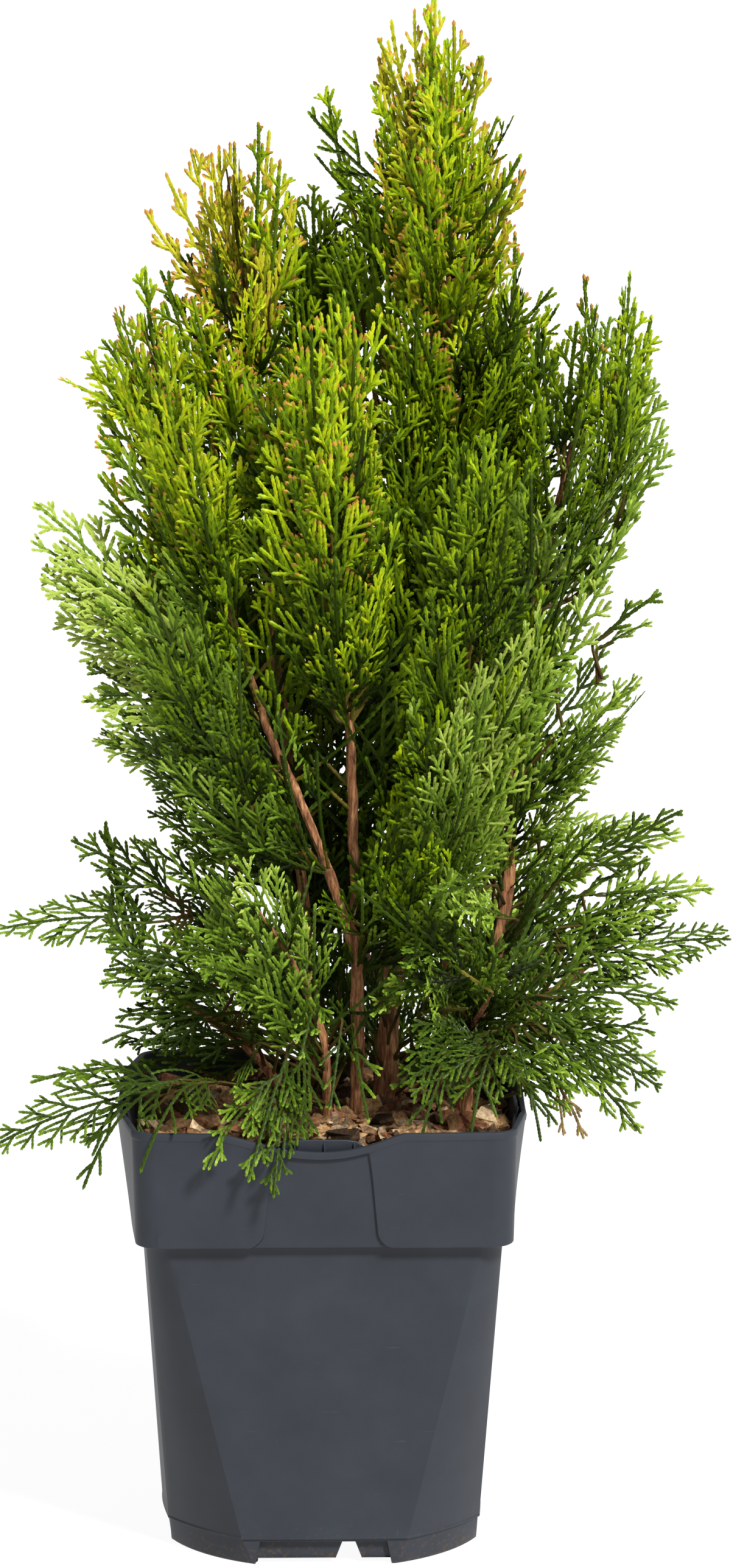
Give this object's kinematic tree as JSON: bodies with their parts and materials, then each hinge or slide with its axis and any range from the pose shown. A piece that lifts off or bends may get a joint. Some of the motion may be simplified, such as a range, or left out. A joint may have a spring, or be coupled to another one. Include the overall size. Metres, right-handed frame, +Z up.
{
  "type": "potted thuja",
  "caption": "Young bushy arborvitae shrub with upright feathery plumes, standing in a square plastic nursery pot topped with bark mulch.",
  "frame": {"origin": "centre of the pot's underside, on the middle pad that stands on the ground", "axes": "+Z up along the pot's axis and the shrub's height, -Y towards the pot's front side, +X to its right"},
  "size_m": [0.33, 0.248, 0.684],
  "materials": {
    "pot": "matte",
    "mulch": "matte",
    "bark": "matte",
    "foliage": "matte"
  },
  "bodies": {
    "root": {"back_centre_bough": "bark", "back_centre_plume": "foliage", "back_left_bough": "bark", "back_left_plume": "foliage", "back_left_spray": "foliage", "back_left_stem": "bark", "back_right_bough": "bark", "back_right_plume": "foliage", "back_right_spray": "foliage", "back_right_stem": "bark", "back_rim_spray": "foliage", "back_top_plume": "foliage", "centre_plume": "foliage", "crown_left": "foliage", "crown_top": "foliage", "dry_shoot": "foliage", "front_centre_spray": "foliage", "front_low_spray": "foliage", "front_mid_bough": "bark", "front_plume": "foliage", "front_right_bough": "bark", "front_right_spray": "foliage", "front_rim_spray": "foliage", "front_stem": "bark", "leader": "bark", "left_bough": "bark", "left_droop": "foliage", "left_edge_spray": "foliage", "left_front_spray": "foliage", "left_low_bough": "bark", "left_low_spray": "foliage", "left_mid_spray": "foliage", "left_plume": "foliage", "left_rim_spray": "foliage", "left_shoot": "foliage", "left_shoulder": "foliage", "left_tip_spray": "foliage", "low_front_stem": "bark", "low_left_stem": "bark", "pot": "pot", "right_droop": "foliage", "right_front_plume": "foliage", "right_low_bough": "bark", "right_low_spray": "foliage", "right_mid_plume": "foliage", "right_mid_spray": "foliage", "right_plume": "foliage", "right_rim_spray": "foliage", "right_shoot": "foliage", "right_shoulder": "foliage", "right_stem": "bark", "right_tip_shoot": "foliage", "root_ball": "mulch", "top_shoot": "foliage"}
  },
  "joints": []
}
